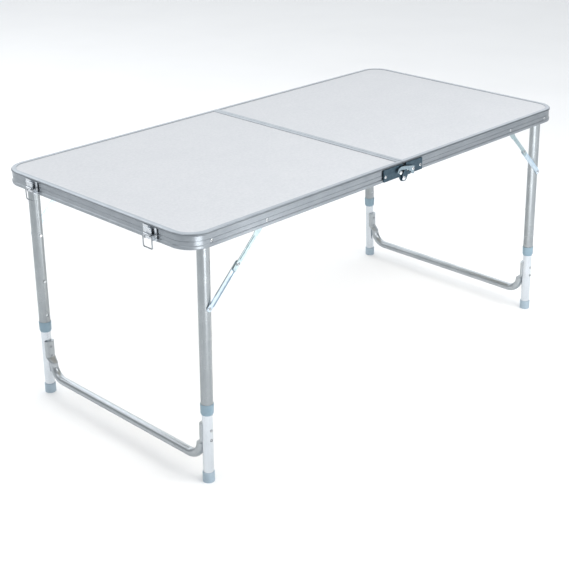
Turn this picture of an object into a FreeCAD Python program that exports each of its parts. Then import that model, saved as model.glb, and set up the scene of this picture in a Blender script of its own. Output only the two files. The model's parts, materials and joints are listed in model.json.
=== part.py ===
import FreeCAD, Part
import math
import os
import Sketcher
from FreeCAD import Placement, Rotation, Vector

# Folding camping table, 1200 x 600 mm top in two leaves, shown open at its lowest height.
# Frame of the model: X along the table, -Y the front, Z up, origin on the floor under the centre.
# The left half is modelled in place; the right half is the same half turned 180 degrees about Z.

SIZES = {
    # table top
    "TopLength": 1200,
    "TopWidth": 600,
    "TableHeight": 545,
    "SeamGap": 1,
    "PanelThick": 4,
    # bent frame extrusion, given as depth in from the outer face and drop below the top
    "FrameHeight": 32,
    "FrameCorner": 50,
    "WallThick": 1.8,
    "LipDepth": 11,
    "LipThick": 1.2,
    "BeadRadius": 3.2,
    "BandDepth": 1.6,
    "LedgeThick": 1.4,
    "FlangeDepth": 6,
    "RivetDrop": 20,
    # rails at the seam
    "RailLip": 9,
    "RailDrop": 22,
    "RailFlange": 8,
    "RailWall": 1.6,
    # centre hinge
    "HingeDrop": 36,
    "PlateReach": 64,
    "PlateThick": 2,
    "EarGap": 0.3,
    "EarRadius": 6.5,
    "HingePin": 2.5,
    "PlateRivet": 58,
    "StudReach": 14,
    "HookReach": 28,
    "HookThick": 2,
    # legs, lengths measured down the leg from its pivot
    "LegPivotReach": 545,
    "LegSide": 273,
    "LegSplay": 1.745,
    "UpperTube": 25,
    "LowerTube": 22,
    "TubeWall": 1.2,
    "UpperTop": 7,
    "UpperEnd": 367,
    "CollarTop": 348,
    "CollarEnd": 372,
    "CollarDiameter": 27.6,
    "LowerTop": 225,
    "LowerEnd": 521,
    "FootTop": 503,
    "FootDiameter": 25,
    "ButtonDrop": 249,
    "HoleSpacing": 82,
    "ButtonRadius": 3.3,
    # floor stretcher
    "StretcherDrop": 481,
    "StretcherTube": 19,
    "StretcherSide": 252.4,
    "StretcherBend": 36,
    "StretcherTop": 394,
    "StretcherFlat": 433,
    # folding braces
    "BraceRailReach": 141.5,
    "BraceLegDrop": 141,
    "LinkThick": 1.4,
    "LinkWidth": 10,
    "LowerLinkSide": 287.1,
    "UpperLinkSide": 290.5,
    # latches and handle on the two short ends
    "LatchSide": 190,
    "HandleSide": 100,
    "HandleDrop": 17,
    "HandleHang": 33,
    "HandleRadius": 4.5,
}

doc = FreeCAD.newDocument("FoldingTable")
sheet = doc.addObject("Spreadsheet::Sheet", "Dims")
sheet.Label = "dimensions"
for row, (alias, number) in enumerate(SIZES.items(), 1):
    sheet.set(f"A{row}", alias)
    sheet.set(f"B{row}", str(number))
    sheet.setAlias(f"B{row}", alias)
doc.recompute()

HALF_LENGTH = SIZES["TopLength"] / 2
HALF_WIDTH = SIZES["TopWidth"] / 2
TOP = SIZES["TableHeight"]
RIVET_LEVEL = TOP - SIZES["RivetDrop"]
HINGE_LEVEL = TOP - SIZES["HingeDrop"]
BAND_FACE = HALF_WIDTH - SIZES["BandDepth"]
WALL_INSIDE = BAND_FACE - SIZES["WallThick"]
PLATE_FACE = HALF_WIDTH + SIZES["PlateThick"]
HOOK_FACE = PLATE_FACE + SIZES["PlateThick"] + 0.5
ENDS = {"left": -1, "right": 1}
HALF_TURN = Placement(Vector(), Rotation(Vector(0, 0, 1), 180))
IN_PLACE = Placement()

nodes = {}


def keep(label, item, placement=IN_PLACE):
    """Name a finished piece, place it and list it for export."""
    item.Label = label
    item.Placement = placement
    nodes[label] = item
    return item


def side_placement(side, placement=IN_PLACE):
    """The left half stands as modelled, and the right half is turned about Z."""
    return HALF_TURN.multiply(placement) if side == "right" else placement


def unique(kind, name):
    return doc.addObject(kind, name)


# ---------------------------------------------------------------- sketches and plates


def number_of(size):
    """A size is a plain number or an expression on the sheet."""
    return float(sheet.evalExpression(size)) if isinstance(size, str) else float(size)


def bind(owner, target, size):
    if isinstance(size, str):
        owner.setExpression(target, size)


def fix_point(sketch, geometry, vertex, point):
    """Hold one sketch point at its distances from the sketch origin."""
    for kind, size in zip(("DistanceX", "DistanceY"), point):
        index = sketch.addConstraint(
            Sketcher.Constraint(kind, -1, 1, geometry, vertex, number_of(size))
        )
        bind(sketch, f"Constraints[{index}]", size)


def draw_outline(sketch, corners):
    """Draw a closed polygon and fix every corner."""
    points = [Vector(number_of(x), number_of(y), 0) for x, y in corners]
    count = len(points)
    first = sketch.GeometryCount
    for i in range(count):
        sketch.addGeometry(Part.LineSegment(points[i], points[(i + 1) % count]), False)
    for i in range(count):
        following = first + (i + 1) % count
        sketch.addConstraint(Sketcher.Constraint("Coincident", first + i, 2, following, 1))
    for i in range(count):
        fix_point(sketch, first + i, 1, corners[i])


def draw_hole(sketch, centre, radius):
    middle = Vector(number_of(centre[0]), number_of(centre[1]), 0)
    index = sketch.addGeometry(
        Part.Circle(middle, Vector(0, 0, 1), number_of(radius)), False
    )
    fix_point(sketch, index, 3, centre)
    size = sketch.addConstraint(Sketcher.Constraint("Radius", index, number_of(radius)))
    bind(sketch, f"Constraints[{size}]", radius)


def sketch_on(body, role, offset=0.0):
    """A sketch on one of the body's own origin planes, moved along the plane's normal."""
    sketch = body.newObject("Sketcher::SketchObject", body.Name + "_sketch")
    plane = [item for item in body.Origin.OriginFeatures if item.Role == role][0]
    sketch.AttachmentSupport = [(plane, "")]
    sketch.MapMode = "FlatFace"
    sketch.AttachmentOffset = Placement(Vector(0, 0, offset), Rotation())
    return sketch


def add_pad(body, role, offset, corners, thickness, holes=()):
    """Pad an outline with round holes; the pad follows the plane's normal."""
    sketch = sketch_on(body, role, offset)
    draw_outline(sketch, corners)
    for centre, radius in holes:
        draw_hole(sketch, centre, radius)
    pad = body.newObject("PartDesign::Pad", body.Name + "_pad")
    pad.Profile = sketch
    pad.Length = number_of(thickness)
    bind(pad, "Length", thickness)
    doc.recompute()
    return pad


def round_corners(body, base, role, corners, radius):
    """Round the pad's edges that stand on the given sketch corners."""
    axes = {"XY_Plane": (0, 1), "XZ_Plane": (0, 2), "YZ_Plane": (1, 2)}[role]
    wanted = [(number_of(x), number_of(y)) for x, y in corners]
    names = []
    for index, edge in enumerate(base.Shape.Edges, 1):
        ends = [vertex.Point for vertex in edge.Vertexes]
        if len(ends) != 2:
            continue
        flat = [(end[axes[0]], end[axes[1]]) for end in ends]
        if math.dist(*flat) > 1e-6:
            continue
        if any(math.dist(flat[0], corner) < 1e-4 for corner in wanted):
            names.append(f"Edge{index}")
    fillet = body.newObject("PartDesign::Fillet", body.Name + "_fillet")
    fillet.Base = (base, names)
    fillet.Radius = number_of(radius)
    bind(fillet, "Radius", radius)
    doc.recompute()
    return fillet


def new_body(label):
    return unique("PartDesign::Body", label + "_body")


# ---------------------------------------------------------------- round work


def ring(name, radius, bore, bottom, height, side):
    """A hollow cylinder on a leg axis, from Part primitives bound to the sheet."""
    outer = unique("Part::Cylinder", name + "_outer")
    inner = unique("Part::Cylinder", name + "_bore")
    for piece, size, extra in ((outer, radius, 0), (inner, bore, 1)):
        piece.Radius = number_of(size)
        bind(piece, "Radius", size)
        piece.Height = number_of(height) + 2 * extra
        piece.Placement = Placement(
            Vector(0, side, number_of(bottom) - extra), Rotation()
        )
    bind(outer, "Height", height)
    piece = unique("Part::Cut", name + "_ring")
    piece.Base = outer
    piece.Tool = inner
    return piece


def cross_hole(name, base, radius, side_from, side_to, drop):
    """Bore a hole along Y through one tube, at a distance down the leg."""
    drill = unique("Part::Cylinder", name + "_drill")
    drill.Radius = radius
    drill.Height = abs(side_to - side_from)
    drill.Placement = Placement(
        Vector(0, min(side_from, side_to), -drop), Rotation(Vector(1, 0, 0), -90)
    )
    bored = unique("Part::Cut", name + "_bored")
    bored.Base = base
    bored.Tool = drill
    return bored


def turned(profile, place, toward):
    """Turn (radius, height) points about a line through place; heights run toward a direction."""
    points = [Vector(radius, 0, height) for radius, height in profile]
    face = Part.Face(Part.makePolygon(points + points[:1]))
    solid = face.revolve(Vector(), Vector(0, 0, 1), 360)
    solid.Placement = Placement(place, Rotation(Vector(0, 0, 1), toward))
    return solid


def dome(radius, height, base, steps=4):
    """Points of a low round head that rises from its rim to its crown."""
    angles = [math.pi / 2 * step / steps for step in range(steps + 1)]
    return [(radius * math.cos(a), base + height * math.sin(a)) for a in angles]


def rivet(place, toward, lengths, shank=2.0, head=3.4, rise=1.5, tail=2.9, tail_rise=1.1):
    """A round-head rivet whose head seats at place; its shank runs back by lengths."""
    profile = [(0, -lengths - tail_rise), (tail * 0.8, -lengths - tail_rise)]
    profile += [(tail, -lengths), (shank, -lengths), (shank, 0)]
    profile += dome(head, rise, 0)
    return turned(profile, place, toward)


def feature(label, shape, placement=IN_PLACE):
    """A piece whose shape is made by Part's own functions."""
    item = unique("Part::Feature", label)
    item.Shape = shape
    return keep(label, item, placement)


def bent_path(points, radius):
    """Straight runs through the points, joined by tangent arcs of one radius."""
    edges = []
    start = points[0]
    for before, corner, after in zip(points, points[1:], points[2:]):
        incoming = (before - corner).normalize()
        outgoing = (after - corner).normalize()
        half = incoming.getAngle(outgoing) / 2
        setback = radius / math.tan(half)
        enter = corner + incoming * setback
        leave = corner + outgoing * setback
        middle_way = (incoming + outgoing).normalize()
        middle = corner + middle_way * (radius / math.sin(half) - radius)
        edges.append(Part.LineSegment(start, enter).toShape())
        edges.append(Part.Arc(enter, middle, leave).toShape())
        start = leave
    edges.append(Part.LineSegment(start, points[-1]).toShape())
    return Part.Wire(edges)


def rod(points, bend, radius):
    """A round rod along a bent path."""
    path = bent_path(points, bend)
    first = points[1] - points[0]
    section = Part.Wire(Part.Circle(points[0], first, radius).toShape())
    return path.makePipeShell([section], True, False)


def mirror_copy(label, source):
    """The rear twin of a front piece, or the front twin of a rear one."""
    twin = unique("Part::Mirroring", label + "_twin")
    twin.Source = source
    twin.Normal = Vector(0, 1, 0)
    twin.Label = label
    nodes[label] = twin
    return twin


def pair(label, first):
    """One node that holds a front piece and its rear twin as two solids."""
    twin = unique("Part::Mirroring", label + "_twin")
    twin.Source = first
    twin.Normal = Vector(0, 1, 0)
    both = unique("Part::Compound", label + "_pair")
    both.Links = [first, twin]
    both.Label = label
    nodes[label] = both
    return both


# ---------------------------------------------------------------- table leaves

FRAME_EDGE = "Dims.TopWidth / 2"
LEDGE_TOP = "Dims.LipThick + Dims.PanelThick"


def frame_section():
    """The extrusion's outline as (depth in, drop) pairs, from the lip's root round to its tip."""
    band = "Dims.BandDepth"
    wall = "Dims.WallThick"
    inner = "Dims.BandDepth + Dims.WallThick"
    ledge_end = f"{LEDGE_TOP} + Dims.LedgeThick"
    foot = "Dims.FrameHeight"
    bead_turn = [math.radians(angle) for angle in (60, 30, 0, -30, -60)]
    bead = [
        (f"Dims.BeadRadius * {1 - math.cos(a):.5f}", f"Dims.BeadRadius * {1 - math.sin(a):.5f}")
        for a in bead_turn
    ]
    return bead + [
        (band, "14.4"),
        (f"{band} + 0.6", "14.8"),
        (f"{band} + 0.6", "15.6"),
        (band, "16"),
        (band, "24"),
        ("0", "25.4"),
        ("0", f"{foot} - 2"),
        ("0.6", f"{foot} - 0.6"),
        ("2", foot),
        ("Dims.FlangeDepth", foot),
        ("Dims.FlangeDepth", f"{foot} - 1.4"),
        (wall, f"{foot} - 1.4"),
        (wall, "26.2"),
        (inner, "24.8"),
        (inner, ledge_end),
        ("Dims.LipDepth", ledge_end),
        ("Dims.LipDepth", LEDGE_TOP),
        (wall, LEDGE_TOP),
        (wall, "Dims.LipThick"),
        ("Dims.LipDepth", "Dims.LipThick"),
        ("Dims.LipDepth", "0.6"),
        ("Dims.LipDepth - 0.6", "0"),
        ("Dims.BeadRadius", "0"),
    ]


def build_frame(side, long_holes, end_holes):
    """Bend the extrusion round the leaf and drill it for its rivets."""
    label = f"{side}_frame"
    body = new_body(label)
    path = sketch_on(body, "XY_Plane", TOP)
    corner = SIZES["FrameCorner"]
    seam = -SIZES["SeamGap"] / 2
    near, far = -HALF_WIDTH, HALF_WIDTH
    bend_x = -HALF_LENGTH + corner
    bends = [(near + corner, math.pi, 1.5 * math.pi), (far - corner, math.pi / 2, math.pi)]
    runs = [
        (Vector(seam, near, 0), Vector(bend_x, near, 0)),
        (Vector(-HALF_LENGTH, near + corner, 0), Vector(-HALF_LENGTH, far - corner, 0)),
        (Vector(bend_x, far, 0), Vector(seam, far, 0)),
    ]
    for index, (start, end) in enumerate(runs):
        path.addGeometry(Part.LineSegment(start, end), False)
        if index < len(bends):
            level, low, high = bends[index]
            circle = Part.Circle(Vector(bend_x, level, 0), Vector(0, 0, 1), corner)
            path.addGeometry(Part.ArcOfCircle(circle, low, high), False)
    section = sketch_on(body, "YZ_Plane", seam)
    outline = [
        (f"-{FRAME_EDGE} + {depth}", f"Dims.TableHeight - ({drop})")
        for depth, drop in frame_section()
    ]
    draw_outline(section, outline)
    pipe = body.newObject("PartDesign::AdditivePipe", label + "_pipe")
    pipe.Profile = section
    pipe.Spine = (path, [f"Edge{i}" for i in range(1, 6)])
    doc.recompute()
    for role, holes in (("XZ_Plane", long_holes), ("YZ_Plane", end_holes)):
        drill = sketch_on(body, role)
        for centre, radius in holes:
            draw_hole(drill, centre, radius)
        pocket = body.newObject("PartDesign::Pocket", label + "_holes")
        pocket.Profile = drill
        pocket.Type = 1
        pocket.Midplane = True
        before = body.Shape.Volume
        doc.recompute()
        if body.Shape.Volume > before - 1:
            raise ValueError(label + ": the rivet holes cut nothing")
    return keep(label, body, side_placement(side))


def build_panel(side):
    label = f"{side}_top_panel"
    body = new_body(label)
    outer = "-Dims.TopLength / 2 + Dims.WallThick + 0.2"
    inner = "-Dims.SeamGap / 2 - Dims.RailWall - 0.2"
    edge = "Dims.TopWidth / 2 - Dims.WallThick - 0.2"
    corners = [(outer, f"-({edge})"), (inner, f"-({edge})"), (inner, edge), (outer, edge)]
    level = TOP - SIZES["LipThick"] - SIZES["PanelThick"]
    pad = add_pad(body, "XY_Plane", level, corners, "Dims.PanelThick")
    round_corners(
        body, pad, "XY_Plane", (corners[0], corners[3]), "Dims.FrameCorner - Dims.WallThick"
    )
    return keep(label, body, side_placement(side))


def build_rail(side):
    """The thin aluminium channel that closes the leaf at the seam."""
    label = f"{side}_centre_rail"
    body = new_body(label)
    face = "-Dims.SeamGap / 2"
    wall = f"{face} - Dims.RailWall"
    top = "Dims.TableHeight"
    drops = {
        "lip": f"{top} - Dims.LipThick",
        "ledge": f"{top} - ({LEDGE_TOP})",
        "under": f"{top} - ({LEDGE_TOP}) - Dims.LedgeThick",
        "flange": f"{top} - Dims.RailDrop + 1.4",
        "foot": f"{top} - Dims.RailDrop",
    }
    corners = [
        (face, f"{top} - 0.5"),
        (f"{face} - 0.5", top),
        (f"{face} - Dims.RailLip + 0.5", top),
        (f"{face} - Dims.RailLip", f"{top} - 0.5"),
        (f"{face} - Dims.RailLip", drops["lip"]),
        (wall, drops["lip"]),
        (wall, drops["ledge"]),
        (f"{face} - Dims.RailLip - 2", drops["ledge"]),
        (f"{face} - Dims.RailLip - 2", drops["under"]),
        (wall, drops["under"]),
        (wall, drops["flange"]),
        (f"{face} - Dims.RailFlange", drops["flange"]),
        (f"{face} - Dims.RailFlange", drops["foot"]),
        (face, drops["foot"]),
    ]
    half = HALF_WIDTH - SIZES["LipDepth"]
    add_pad(body, "XZ_Plane", -half, corners, "Dims.TopWidth - 2 * Dims.LipDepth")
    return keep(label, body, side_placement(side))


def build_brackets(side):
    """Angle brackets that tie the seam rail to the long sides of the frame."""
    label = f"{side}_rail_brackets"
    rail_face = -SIZES["SeamGap"] / 2 - SIZES["RailWall"]
    leg, thick, tall = 22, 1.6, 10
    reach = WALL_INSIDE
    low = TOP - 19
    along = Part.makeBox(leg, thick, tall, Vector(rail_face - leg, -reach, low))
    across = Part.makeBox(thick, leg, tall, Vector(rail_face - thick, -reach, low))
    angle = along.fuse(across).removeSplitter()
    stud_hole = Part.makeCylinder(
        2.0, 2 * thick, Vector(-SIZES["StudReach"], -reach - thick / 2, RIVET_LEVEL), Vector(0, 1, 0)
    )
    front = unique("Part::Feature", label + "_front")
    front.Shape = angle.cut(stud_hole)
    both = pair(label, front)
    both.Placement = side_placement(side)
    return both


def facing_pair(place, toward, *lengths, **sizes):
    """A rivet and its twin on the other long side."""
    twin_place = Vector(place.x, -place.y, place.z)
    twin_toward = Vector(toward.x, -toward.y, toward.z)
    return [
        rivet(place, toward, *lengths, **sizes),
        rivet(twin_place, twin_toward, *lengths, **sizes),
    ]


def shoulder_rivet(reach, shoulder_end, tail_end, shoulder=5.0, shank=2.4, tail_head=0.0):
    """A rivet through the frame with a shoulder that spaces a moving part off the wall."""
    seat = BAND_FACE
    profile = [(0, tail_end - seat)]
    if tail_head:
        profile += [(tail_head, tail_end - seat), (tail_head, tail_end + 1.3 - seat)]
        profile += [(shank, tail_end + 1.3 - seat)]
    else:
        profile += [(shank, tail_end - seat)]
    profile += [(shank, shoulder_end - seat), (shoulder, shoulder_end - seat)]
    profile += [(shoulder, WALL_INSIDE - seat), (shank, WALL_INSIDE - seat), (shank, 0)]
    profile += dome(3.5, 1.5, 0)
    solids = []
    for sign in (-1, 1):
        place = Vector(reach, sign * seat, RIVET_LEVEL)
        solids.append(turned(profile, place, Vector(0, sign, 0)))
    return solids


LEG_TUBE_OUT = SIZES["LegSide"] + SIZES["UpperTube"] / 2
LEG_TUBE_IN = SIZES["LegSide"] - SIZES["UpperTube"] / 2
FRAME_HOLE = 2.4
PLATE_HOLE = 2.0
END_HOLE = 1.6


def leaf_rivets():
    """The rivets that every leaf carries for its legs and braces."""
    leg_x = -SIZES["LegPivotReach"]
    brace_x = leg_x + SIZES["BraceRailReach"]
    solids = shoulder_rivet(leg_x, LEG_TUBE_OUT + 0.3, LEG_TUBE_IN - 1.6, tail_head=3.6)
    solids += shoulder_rivet(
        brace_x, SIZES["UpperLinkSide"] + SIZES["LinkThick"] + 0.3, SIZES["UpperLinkSide"] - 0.1
    )
    return solids


def end_rivets(sides, levels, plate=1.5):
    """Small rivets that hold fittings to the short end of a leaf."""
    solids = []
    wall = SIZES["BandDepth"] + SIZES["WallThick"]
    for y in sides:
        for level in levels:
            place = Vector(-HALF_LENGTH - plate, y, level)
            solids.append(
                rivet(place, Vector(-1, 0, 0), plate + wall, END_HOLE, 2.6, 1.0, 2.6, 0.9)
            )
    return solids


LATCH_RIVET_SIDES = (-SIZES["LatchSide"] - 16, -SIZES["LatchSide"] + 16)
KEEPER_RIVET_SIDES = (-SIZES["LatchSide"] - 12, -SIZES["LatchSide"] + 12)
HANDLE_RIVET_SIDES = (-SIZES["HandleSide"] - 12.5, -SIZES["HandleSide"] + 12.5)


def both_signs(sides):
    return sorted([s for s in sides] + [-s for s in sides])


def build_leaf(side):
    """Panel, bent frame, seam rail, brackets and the rivets of one leaf."""
    leg_x = -SIZES["LegPivotReach"]
    brace_x = leg_x + SIZES["BraceRailReach"]
    plate_xs = [-SIZES["PlateRivet"], -SIZES["StudReach"]]
    if side == "right":
        plate_xs = [-SIZES["PlateRivet"], -SIZES["HookReach"], -SIZES["StudReach"]]
    long_holes = [((x, RIVET_LEVEL), FRAME_HOLE) for x in (leg_x, brace_x)]
    long_holes += [((x, RIVET_LEVEL), PLATE_HOLE) for x in plate_xs]
    ends = LATCH_RIVET_SIDES if side == "left" else KEEPER_RIVET_SIDES + HANDLE_RIVET_SIDES
    end_holes = [((y, RIVET_LEVEL), END_HOLE) for y in both_signs(ends)]
    build_frame(side, long_holes, end_holes)
    build_panel(side)
    build_rail(side)
    build_brackets(side)

    solids = leaf_rivets()
    grip = PLATE_FACE - WALL_INSIDE
    for x in plate_xs:
        place = Vector(x, -PLATE_FACE, RIVET_LEVEL)
        through_bracket = 1.6 if x == -SIZES["StudReach"] else 0
        is_stud = side == "left" and x == -SIZES["StudReach"]
        is_hook = side == "right" and x == -SIZES["HookReach"]
        if not is_stud and not is_hook:
            solids += facing_pair(
                place, Vector(0, -1, 0), grip + through_bracket, shank=PLATE_HOLE, rise=1.2
            )
    solids += hook_pivots() if side == "right" else []
    solids += end_rivets(both_signs(ends), (RIVET_LEVEL,))
    feature(f"{side}_frame_rivets", Part.makeCompound(solids), side_placement(side))


# ---------------------------------------------------------------- centre hinge


def hinge_point(x, rise):
    """A point near the hinge pin as sketch coordinates bound to the pin's level."""
    return (x, f"Dims.TableHeight - Dims.HingeDrop + {rise}")


PLATE_LOW, PLATE_HIGH = 5, 32


def build_left_hinge_plate():
    """The left plate lies on the frame, and its ear takes the hinge pin."""
    label = "left_front_hinge_plate"
    body = new_body(label)
    ear = SIZES["EarRadius"]
    corners = [
        ("-Dims.PlateReach", hinge_point(0, PLATE_LOW)[1]),
        hinge_point(-2 * ear, PLATE_LOW),
        hinge_point(-ear, -ear),
        hinge_point(ear, -ear),
        hinge_point(ear, ear),
        hinge_point(-2.5, ear),
        hinge_point(-2.5, PLATE_HIGH),
        ("-Dims.PlateReach", hinge_point(0, PLATE_HIGH)[1]),
    ]
    rivet_level = "Dims.TableHeight - Dims.RivetDrop"
    holes = [
        (hinge_point(0, 0), "Dims.HingePin + 0.1"),
        (("-Dims.PlateRivet", rivet_level), PLATE_HOLE),
        (("-Dims.StudReach", rivet_level), PLATE_HOLE),
    ]
    pad = add_pad(body, "XZ_Plane", HALF_WIDTH, corners, "Dims.PlateThick", holes)
    rounded = round_corners(body, pad, "XZ_Plane", corners[2:5], 6)
    round_corners(body, rounded, "XZ_Plane", (corners[0], corners[7]), 1.5)
    keep(label, body)
    mirror_copy("left_rear_hinge_plate", body)


def build_right_hinge_plate():
    """The right plate steps out over the left ear and shares its pin."""
    label = "right_front_hinge_plate"
    body = new_body(label)
    ear = SIZES["EarRadius"]
    inner_edge, step_edge = 8.5, 22
    rivet_level = "Dims.TableHeight - Dims.RivetDrop"
    flat = [
        hinge_point(inner_edge, PLATE_LOW),
        ("Dims.PlateReach", hinge_point(0, PLATE_LOW)[1]),
        ("Dims.PlateReach", hinge_point(0, PLATE_HIGH)[1]),
        hinge_point(inner_edge, PLATE_HIGH),
    ]
    holes = [
        (("Dims.PlateRivet", rivet_level), PLATE_HOLE),
        (("Dims.HookReach", rivet_level), PLATE_HOLE),
        (("Dims.StudReach", rivet_level), PLATE_HOLE),
    ]
    pad = add_pad(body, "XZ_Plane", HALF_WIDTH, flat, "Dims.PlateThick", holes)
    round_corners(body, pad, "XZ_Plane", flat[1:3], 1.5)
    step = [
        hinge_point(inner_edge, PLATE_LOW),
        hinge_point(step_edge, PLATE_LOW),
        hinge_point(step_edge, 22),
        hinge_point(inner_edge, 22),
    ]
    rise = "Dims.PlateThick * 2 + Dims.EarGap"
    stud_hole = [(("Dims.StudReach", rivet_level), 4.0)]
    add_pad(body, "XZ_Plane", HALF_WIDTH, step, rise, stud_hole)
    ear_plate = [
        hinge_point(-ear, -ear),
        hinge_point(ear, -ear),
        hinge_point(2 * ear, PLATE_LOW),
        hinge_point(step_edge, PLATE_LOW),
        hinge_point(step_edge, 22),
        hinge_point(4, 22),
        hinge_point(-ear, ear),
    ]
    ear_holes = [(hinge_point(0, 0), "Dims.HingePin + 0.1"), stud_hole[0]]
    outer = add_pad(
        body, "XZ_Plane", PLATE_FACE + SIZES["EarGap"], ear_plate, "Dims.PlateThick", ear_holes
    )
    round_corners(body, outer, "XZ_Plane", ear_plate[:2] + ear_plate[-1:], 6)
    keep(label, body)
    mirror_copy("right_rear_hinge_plate", body)


def build_hinge_pins():
    """Two pins on one axis, each headed on both sides of the ears."""
    head_seat = PLATE_FACE + SIZES["EarGap"] + SIZES["PlateThick"] + 0.15
    tail_seat = HALF_WIDTH - 0.15
    length = head_seat - tail_seat
    solids = facing_pair(
        Vector(0, -head_seat, HINGE_LEVEL),
        Vector(0, -1, 0),
        length,
        shank=SIZES["HingePin"],
        head=4.8,
        rise=2.0,
        tail=3.6,
        tail_rise=1.5,
    )
    feature("hinge_pins", Part.makeCompound(solids))


def build_lock_studs():
    """Headed studs on the left plates that the lock hooks reach over."""
    grip = PLATE_FACE - WALL_INSIDE + 1.6
    profile = [(0, -grip - 1), (2.9, -grip - 1), (2.9, -grip), (PLATE_HOLE, -grip)]
    profile += [(PLATE_HOLE, 0), (3.4, 0), (3.4, 4.8), (4.2, 5.0)]
    profile += dome(4.2, 1.2, 5.2)
    solids = []
    for sign in (-1, 1):
        place = Vector(-SIZES["StudReach"], sign * PLATE_FACE, RIVET_LEVEL)
        solids.append(turned(profile, place, Vector(0, sign, 0)))
    feature("lock_studs", Part.makeCompound(solids))


def hook_pivots():
    """Shouldered rivets in the right plates that carry the lock hooks, drawn on the left half."""
    grip = PLATE_FACE - WALL_INSIDE
    rise = HOOK_FACE - PLATE_FACE
    top = rise + SIZES["HookThick"] + 0.15
    profile = [(0, -grip - 1), (2.9, -grip - 1), (2.9, -grip), (PLATE_HOLE, -grip)]
    profile += [(PLATE_HOLE, 0), (4.0, 0), (4.0, rise - 0.15), (2.0, rise - 0.15), (2.0, top)]
    profile += dome(3.8, 1.4, top)
    solids = []
    for sign in (-1, 1):
        place = Vector(-SIZES["HookReach"], sign * PLATE_FACE, RIVET_LEVEL)
        solids.append(turned(profile, place, Vector(0, sign, 0)))
    return solids


def build_lock_hook():
    """A flat hook on the right plate whose claw arches over the stud."""
    label = "front_lock_hook"
    body = new_body(label)
    outline = [
        (31.5, 11.5),
        (32.5, 21),
        (24, 23),
        (2, 27.5),
        (-10, 28.5),
        (-19.5, 25.5),
        (-25, 18.5),
        (-21.5, 15.8),
        (-17.3, 20.0),
        (-12.5, 22.8),
        (-7.5, 20.8),
        (6, 19),
        (20, 11.5),
        (24, 5.5),
        (30, 4),
    ]
    corners = [hinge_point(x, rise) for x, rise in outline]
    rivet_level = "Dims.TableHeight - Dims.RivetDrop"
    holes = [(("Dims.HookReach", rivet_level), 2.15)]
    pad = add_pad(body, "XZ_Plane", HOOK_FACE, corners, "Dims.HookThick", holes)
    round_corners(body, pad, "XZ_Plane", corners[:2] + corners[3:7], 1.5)
    keep(label, body)
    mirror_copy("rear_lock_hook", body)


# ---------------------------------------------------------------- legs

LEG_SIDE = SIZES["LegSide"]
LEG_PLACE = Placement(
    Vector(-SIZES["LegPivotReach"], 0, RIVET_LEVEL),
    Rotation(Vector(0, 1, 0), SIZES["LegSplay"]),
)
INNER_FACE = -LEG_SIDE + SIZES["UpperTube"] / 2
BUTTON_HOLE = 3.6
PRESS_TRAVEL = 4.3


def twin_names(side, piece):
    """Names of the piece drawn at -Y and of its twin, which swap on the turned half."""
    first, second = ("front", "rear") if side == "left" else ("rear", "front")
    return f"{side}_{first}_{piece}", f"{side}_{second}_{piece}"


def keep_twins(side, piece, item, placement):
    own, other = twin_names(side, piece)
    keep(own, item, side_placement(side, placement))
    mirror_copy(other, item)


def build_upper_tubes(side):
    name = f"{side}_upper"
    tube = ring(
        name,
        "Dims.UpperTube / 2",
        "Dims.UpperTube / 2 - Dims.TubeWall",
        "-Dims.UpperEnd",
        "Dims.UpperEnd + Dims.UpperTop",
        -LEG_SIDE,
    )
    outer_edge = -LEG_SIDE - SIZES["UpperTube"]
    inner_edge = -LEG_SIDE + SIZES["UpperTube"]
    tube = cross_hole(name + "_pivot", tube, 2.6, outer_edge, inner_edge, 0)
    tube = cross_hole(
        name + "_brace", tube, 2.0, outer_edge, inner_edge, SIZES["BraceLegDrop"]
    )
    for step in range(2):
        drop = SIZES["ButtonDrop"] + step * SIZES["HoleSpacing"]
        tube = cross_hole(f"{name}_hole{step}", tube, BUTTON_HOLE, -LEG_SIDE, inner_edge, drop)
    keep_twins(side, "upper_tube", tube, LEG_PLACE)


def build_lower_tubes(side):
    name = f"{side}_lower"
    tube = ring(
        name,
        "Dims.LowerTube / 2",
        "Dims.LowerTube / 2 - Dims.TubeWall",
        "-Dims.LowerEnd",
        "Dims.LowerEnd - Dims.LowerTop",
        -LEG_SIDE,
    )
    inner_edge = -LEG_SIDE + SIZES["LowerTube"]
    outer_edge = -LEG_SIDE - SIZES["LowerTube"]
    tube = cross_hole(
        name + "_button", tube, BUTTON_HOLE, -LEG_SIDE, inner_edge, SIZES["ButtonDrop"]
    )
    for index, drop in enumerate(STRETCHER_RIVETS):
        tube = cross_hole(f"{name}_rivet{index}", tube, 2.0, outer_edge, inner_edge, drop)
    keep_twins(side, "lower_tube", tube, LEG_PLACE)


def turned_body(label, profile, side_level):
    """Revolve (radius, height) points about a vertical line at one leg."""
    body = new_body(label)
    sketch = sketch_on(body, "XZ_Plane", -side_level)
    draw_outline(sketch, profile)
    turn = body.newObject("PartDesign::Revolution", label + "_turn")
    turn.Profile = sketch
    turn.ReferenceAxis = (sketch, ["V_Axis"])
    turn.Angle = 360
    doc.recompute()
    return body


def build_collars(side):
    """Plastic collars that end the upper tubes and guide the lower ones."""
    outer = "Dims.CollarDiameter / 2"
    tube = "Dims.UpperTube / 2"
    guide = "Dims.LowerTube / 2 + 0.3"
    profile = [
        (tube, "-Dims.CollarTop - 0.4"),
        (f"{outer} - 0.7", "-Dims.CollarTop"),
        (outer, "-Dims.CollarTop - 0.9"),
        (f"{outer} - 0.5", "-Dims.CollarEnd + 3.5"),
        (f"{outer} - 1.8", "-Dims.CollarEnd"),
        (guide, "-Dims.CollarEnd"),
        (guide, "-Dims.UpperEnd"),
        (tube, "-Dims.UpperEnd"),
    ]
    label = f"{side}_collars"
    body = turned_body(label, profile, -LEG_SIDE)
    body.Placement = side_placement(side, LEG_PLACE)
    pair(label, body)


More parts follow.
